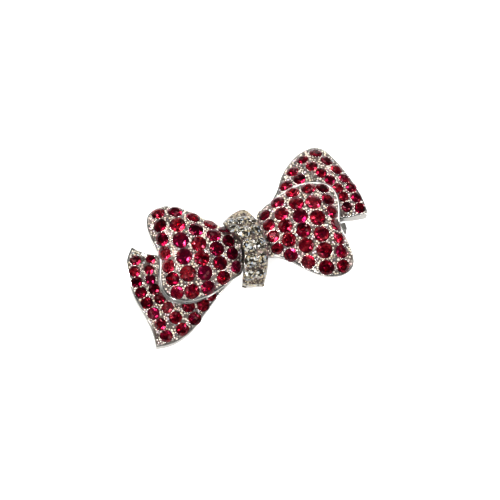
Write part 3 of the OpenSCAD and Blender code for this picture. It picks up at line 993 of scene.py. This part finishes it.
def world():
    """A room that is dark overhead, with soft bright parts all round lower down."""
    room = bpy.data.worlds.new("room")
    bpy.context.scene.world = room
    room.use_nodes = True
    nodes = room.node_tree.nodes
    links = room.node_tree.links
    nodes.clear()
    place = nodes.new("ShaderNodeTexCoord")
    patches = nodes.new("ShaderNodeTexNoise")
    patches.inputs["Scale"].default_value = PATCH_SCALE
    patches.inputs["Detail"].default_value = PATCH_DETAIL
    links.new(place.outputs["Generated"], patches.inputs["Vector"])
    tone = nodes.new("ShaderNodeValToRGB")
    tone.color_ramp.elements[0].position = PATCH_RANGE[0]
    tone.color_ramp.elements[0].color = PATCH_DARK
    tone.color_ramp.elements[1].position = PATCH_RANGE[1]
    tone.color_ramp.elements[1].color = (1, 1, 1, 1)
    links.new(patches.outputs["Fac"], tone.inputs["Fac"])
    axes = nodes.new("ShaderNodeSeparateXYZ")
    links.new(place.outputs["Generated"], axes.inputs["Vector"])
    height = nodes.new("ShaderNodeMapRange")
    height.interpolation_type = "SMOOTHSTEP"
    height.inputs["From Min"].default_value = ROOM_HEIGHTS[0]
    height.inputs["From Max"].default_value = ROOM_HEIGHTS[1]
    height.inputs["To Min"].default_value = ROOM_STRENGTHS[0]
    height.inputs["To Max"].default_value = ROOM_STRENGTHS[1]
    links.new(axes.outputs["Z"], height.inputs["Value"])
    background = nodes.new("ShaderNodeBackground")
    output = nodes.new("ShaderNodeOutputWorld")
    links.new(tone.outputs["Color"], background.inputs["Color"])
    links.new(height.outputs["Result"], background.inputs["Strength"])
    links.new(background.outputs["Background"], output.inputs["Surface"])


def polished_metal():
    """Mirror-like metal of rims, rounded edges and collars."""
    bright = (0.85, 0.83, 0.81)
    dull = (0.6, 0.59, 0.57)
    return metal("polished_white_metal", bright, dull, smoothest=0.1, roughest=0.26)


def shaded_wall_metal():
    """Greyer copy of the white metal for the side walls: painted shade."""
    bright = (0.4, 0.385, 0.36)
    dull = (0.25, 0.24, 0.22)
    return metal("side_wall_painted_shade", bright, dull, smoothest=0.22, roughest=0.38)


def shaded_pin_metal():
    """Dark copy of the white metal for the pin behind: painted shade."""
    bright = (0.16, 0.15, 0.14)
    dull = (0.1, 0.095, 0.085)
    return metal("shaded_pin_metal", bright, dull, smoothest=0.2, roughest=0.4)


def edge_metal():
    """Bright metal of the wires round the stone fields."""
    bright = (0.86, 0.84, 0.81)
    dull = (0.6, 0.58, 0.55)
    return metal("bright_edge_metal", bright, dull, smoothest=0.2, roughest=0.36)


def shaded_ground_metal():
    """Dark copy of the white metal under the stones and grains: painted shade."""
    bright = (0.2, 0.16, 0.145)
    dull = (0.09, 0.065, 0.06)
    return metal("ground_painted_shade", bright, dull, smoothest=0.3, roughest=0.5)


def grain_metal():
    """Bright metal of the grains, each with a tint of its own."""
    bright = (1.0, 0.98, 0.95)
    dull = (0.95, 0.9, 0.86)
    return metal("grain_metal", bright, dull, smoothest=0.28, roughest=0.5, toned=True)


def ruby():
    """Dark red to bright red for the painted light and dark of the facets, with a pinker side
    tint, which painted flashes also use, and painted pale red spark highlights.
    """
    tones = {
        "main": [
            (0.05, (0.04, 0.0005, 0.006)),
            (0.45, (0.2, 0.0015, 0.014)),
            (0.85, (0.58, 0.006, 0.032)),
            (1.0, (0.95, 0.06, 0.09)),
        ],
        "side": (0.36, 0.007, 0.07),
        "painted_spark": (1.0, 0.34, 0.38),
    }
    fire = {"Cells": 2300, "Painted mosaic": 1.05, "Painted flash": 0.055}
    gloss = (0.11, 0.022, 0.03)
    return gem("ruby", tones, fire, bend=1.77, clearness=0.9, gloss=gloss, gloss_level=0.05)


def diamond():
    """Olive black to white for the painted reflections of the facets, with painted blue side
    flashes and painted amber spark highlights.
    """
    tones = {
        "main": [
            (0.15, (0.018, 0.015, 0.011)),
            (0.5, (0.085, 0.075, 0.052)),
            (0.85, (0.48, 0.44, 0.33)),
            (1.0, (1, 1, 0.93)),
        ],
        "side": (0.6, 0.72, 0.9),
        "painted_spark": (0.95, 0.74, 0.42),
    }
    fire = {"Cells": 3200, "Painted mosaic": 1.7, "Painted flash": 0.075}
    gloss = (0.42, 0.41, 0.4)
    return gem("diamond", tones, fire, bend=2.42, clearness=0.5, gloss=gloss, gloss_level=0.3)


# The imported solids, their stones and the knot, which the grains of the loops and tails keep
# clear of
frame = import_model()
STONES = {name: stones_of(node) for name, node in PLATE_STONES.items()}
KNOT_TREE = BVHTree.FromBMesh(shape_from_node("knot"))

# Effects that several materials share, then the materials
METAL_POLISH = wear_group()
PAINTED_STONE_FIRE = painted_stone_fire_group()
POLISHED = polished_metal()
WALL_SHADE_METAL = shaded_wall_metal()
PIN_SHADE_METAL = shaded_pin_metal()
EDGE = edge_metal()
GROUND_SHADE_METAL = shaded_ground_metal()
GRAIN = grain_metal()
RUBY = ruby()
DIAMOND = diamond()

# The brooch, every random choice in this order
chance = random.Random(7)
for plate_name in PLATE_STONES:
    plate(plate_name)
    collars(plate_name)
    edge_wire(plate_name)
    grains(plate_name, chance)
    if plate_name == "knot":
        cut_stones(plate_name, DIAMOND, diamond_painted_facets, chance)
    else:
        cut_stones(plate_name, RUBY, ruby_painted_facets, chance)
pin()

# What it is seen in
floor()
for row in LAMPS:
    lamp(*row)
world()
camera()
bpy.context.scene.view_settings.view_transform = "Standard"
